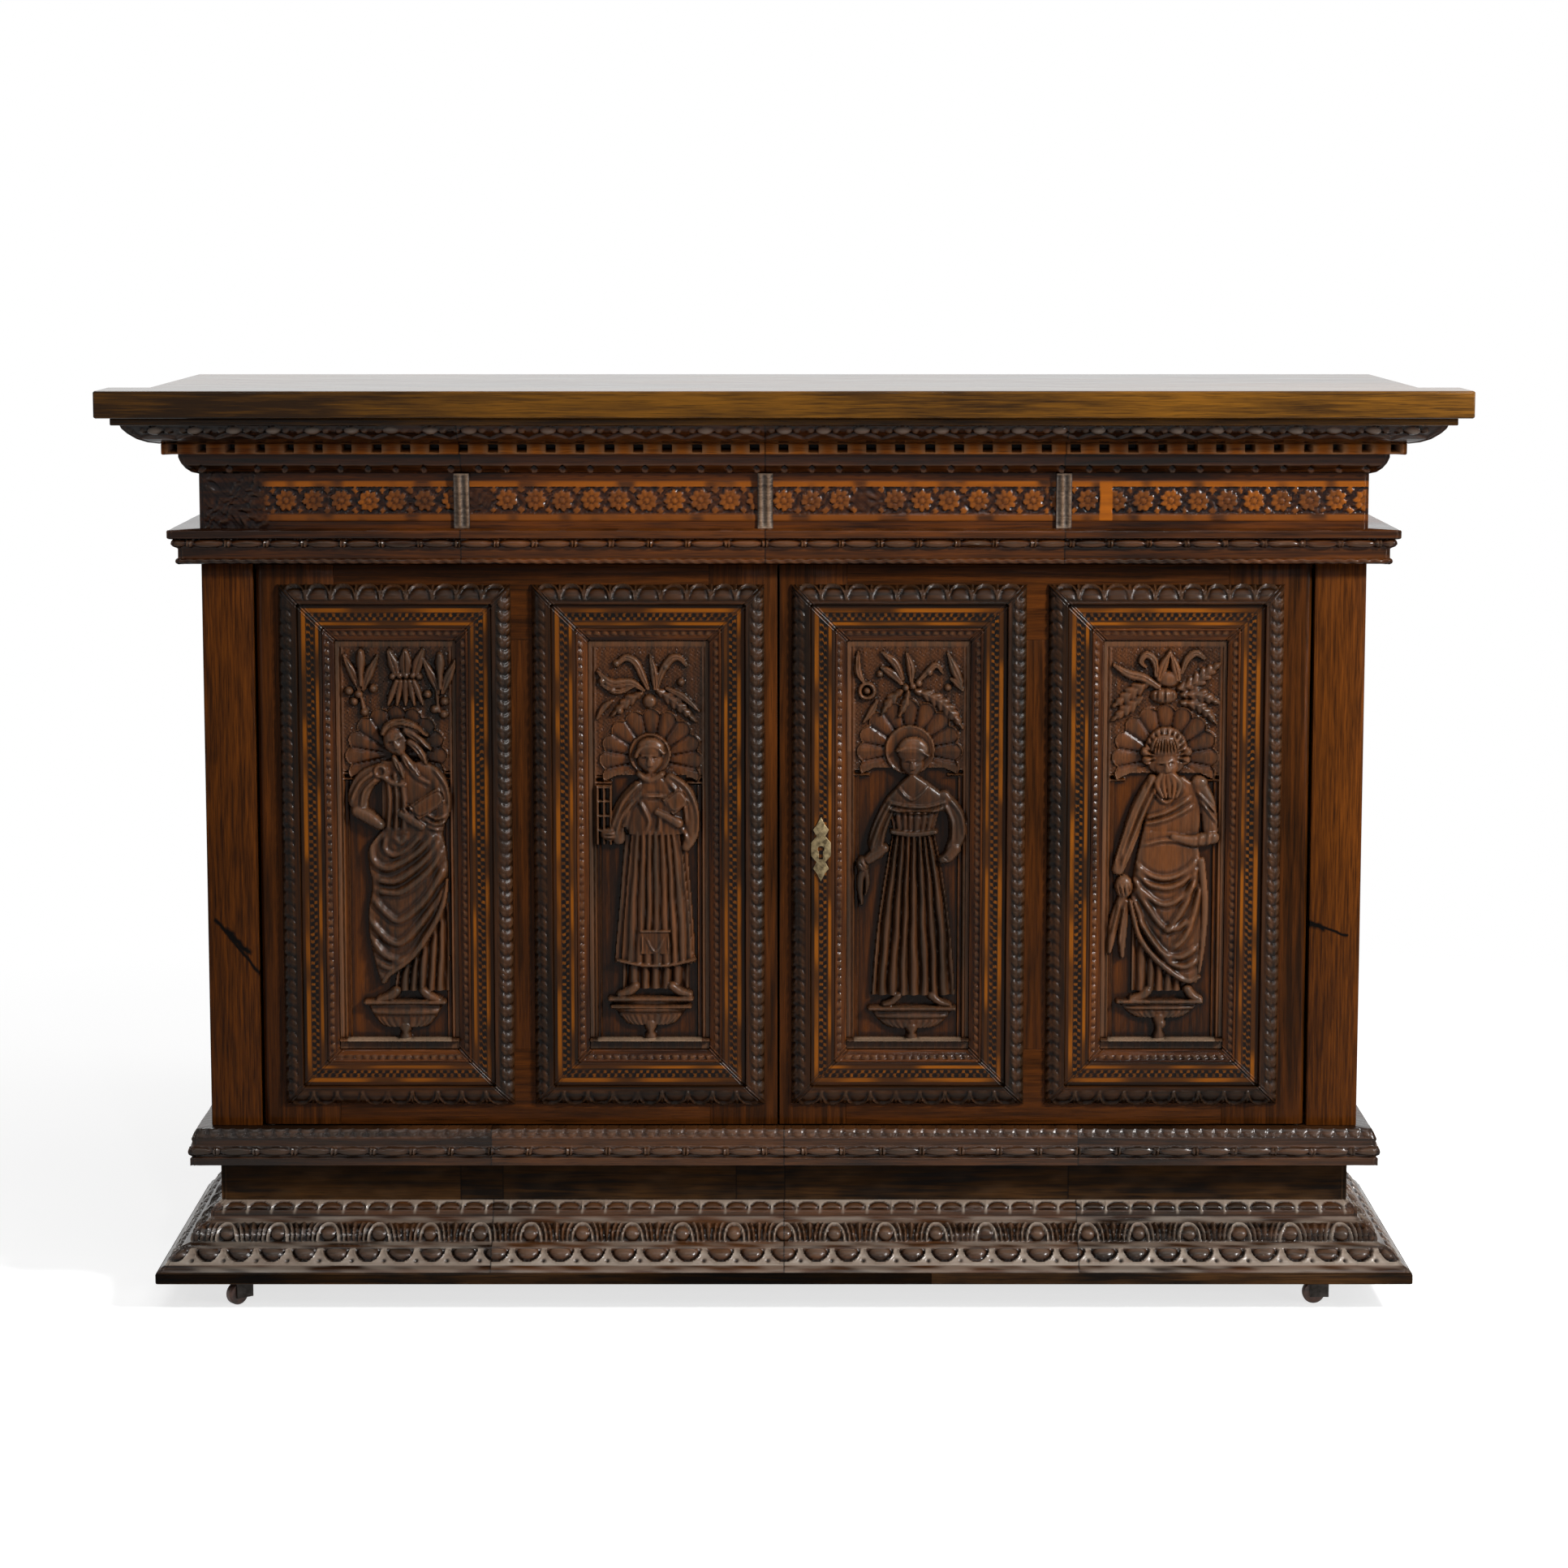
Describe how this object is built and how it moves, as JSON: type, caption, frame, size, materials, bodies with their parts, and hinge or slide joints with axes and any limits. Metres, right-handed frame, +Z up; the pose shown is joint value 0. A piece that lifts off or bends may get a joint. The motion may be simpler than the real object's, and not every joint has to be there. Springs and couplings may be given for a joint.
{
  "type": "carved credenza",
  "caption": "Low two-door walnut credenza with carved figure panels in inlaid frames, dentil cornice, stepped carved base, overhanging top with front ears, lock and small swivel casters.",
  "frame": {"origin": "on the floor under the middle of the top board", "axes": "+X along the front to the viewer's right, +Y towards the back, +Z up"},
  "size_m": [1.658, 0.54, 1.1493],
  "materials": {
    "walnut": "dark waxed walnut",
    "carved_walnut": "carved, waxed and worn walnut",
    "inlaid_walnut": "walnut with light wood stringing",
    "top_walnut": "polished golden brown walnut",
    "inner_wood": "plain unpolished softwood",
    "brass": "tarnished brass",
    "iron": "dark wrought iron",
    "caster_wheel": "worn iron"
  },
  "bodies": {
    "carcase": {"top_board": "top_walnut", "underboard": "top_walnut", "crown_moulding": "carved_walnut", "dentil_course": "carved_walnut", "bed_moulding": "carved_walnut", "frieze_boards": "inlaid_walnut", "frieze_brackets": "carved_walnut", "waist_moulding": "carved_walnut", "front_posts": "walnut", "rear_posts": "walnut", "side_rails": "walnut", "side_panels": "walnut", "back_boards": "inner_wood", "top_rails": "inner_wood", "bottom_board": "inner_wood", "plinth_braces": "inner_wood", "shelf": "inner_wood", "inner_battens": "inner_wood", "cap_moulding": "carved_walnut", "plinth_boards": "walnut", "base_moulding": "carved_walnut", "base_fascia": "walnut", "pivot_sockets": "brass", "caster_plates": "iron", "caster_screws": "iron"},
    "left_door": {"left_hinge_stile": "walnut", "left_meeting_stile": "walnut", "left_muntin": "walnut", "left_rails": "walnut", "left_pivots": "iron", "left_inner_mouldings": "carved_walnut", "left_inlay_bands": "inlaid_walnut", "left_outer_mouldings": "carved_walnut", "carved_panel_1": "carved_walnut", "carved_panel_2": "carved_walnut", "lock_keeper": "iron", "door_bolt_plate": "iron"},
    "right_door": {"right_hinge_stile": "walnut", "right_meeting_stile": "walnut", "right_muntin": "walnut", "right_rails": "walnut", "right_pivots": "iron", "right_inner_mouldings": "carved_walnut", "right_inlay_bands": "inlaid_walnut", "right_outer_mouldings": "carved_walnut", "carved_panel_3": "carved_walnut", "carved_panel_4": "carved_walnut", "lock_case": "iron", "escutcheon": "brass"},
    "lock_bolt": {"lock_bolt": "iron"},
    "door_bolt": {"door_bolt": "iron"},
    "caster_front_left": {"caster_fork_front_left": "iron"},
    "wheel_front_left": {"caster_wheel_front_left": "caster_wheel"},
    "caster_front_right": {"caster_fork_front_right": "iron"},
    "wheel_front_right": {"caster_wheel_front_right": "caster_wheel"},
    "caster_rear_left": {"caster_fork_rear_left": "iron"},
    "wheel_rear_left": {"caster_wheel_rear_left": "caster_wheel"},
    "caster_rear_right": {"caster_fork_rear_right": "iron"},
    "wheel_rear_right": {"caster_wheel_rear_right": "caster_wheel"}
  },
  "joints": [
    {"name": "left_door_swing", "type": "hinge", "parent": "carcase", "child": "left_door", "pos_m": [-0.643, -0.15, 0.58], "axis": [0, 0, -1], "range_deg": [0, 100]},
    {"name": "right_door_swing", "type": "hinge", "parent": "carcase", "child": "right_door", "pos_m": [0.643, -0.15, 0.58], "axis": [0, 0, 1], "range_deg": [0, 100]},
    {"name": "lock_bolt_throw", "type": "slide", "parent": "right_door", "child": "lock_bolt", "axis": [-1, 0, 0], "range_m": [0, 0.012]},
    {"name": "door_bolt_slide", "type": "slide", "parent": "left_door", "child": "door_bolt", "axis": [0, 0, 1], "range_m": [0, 0.014]},
    {"name": "caster_swivel_front_left", "type": "hinge", "parent": "carcase", "child": "caster_front_left", "pos_m": [-0.679, -0.165, 0.03], "axis": [0, 0, 1], "continuous": true},
    {"name": "wheel_roll_front_left", "type": "hinge", "parent": "caster_front_left", "child": "wheel_front_left", "pos_m": [-0.68819, -0.17271, 0.014], "axis": [-0.6428, 0.766, 0], "continuous": true},
    {"name": "caster_swivel_front_right", "type": "hinge", "parent": "carcase", "child": "caster_front_right", "pos_m": [0.679, -0.165, 0.03], "axis": [0, 0, 1], "continuous": true},
    {"name": "wheel_roll_front_right", "type": "hinge", "parent": "caster_front_right", "child": "wheel_front_right", "pos_m": [0.667, -0.165, 0.014], "axis": [0, 1, 0], "continuous": true},
    {"name": "caster_swivel_rear_left", "type": "hinge", "parent": "carcase", "child": "caster_rear_left", "pos_m": [-0.679, 0.2, 0.03], "axis": [0, 0, 1], "continuous": true},
    {"name": "wheel_roll_rear_left", "type": "hinge", "parent": "caster_rear_left", "child": "wheel_rear_left", "pos_m": [-0.68988, 0.19493, 0.014], "axis": [-0.4226, 0.9063, 0], "continuous": true},
    {"name": "caster_swivel_rear_right", "type": "hinge", "parent": "carcase", "child": "caster_rear_right", "pos_m": [0.679, 0.2, 0.03], "axis": [0, 0, 1], "continuous": true},
    {"name": "wheel_roll_rear_right", "type": "hinge", "parent": "caster_rear_right", "child": "wheel_rear_right", "pos_m": [0.66772, 0.2041, 0.014], "axis": [0.342, 0.9397, 0], "continuous": true}
  ]
}
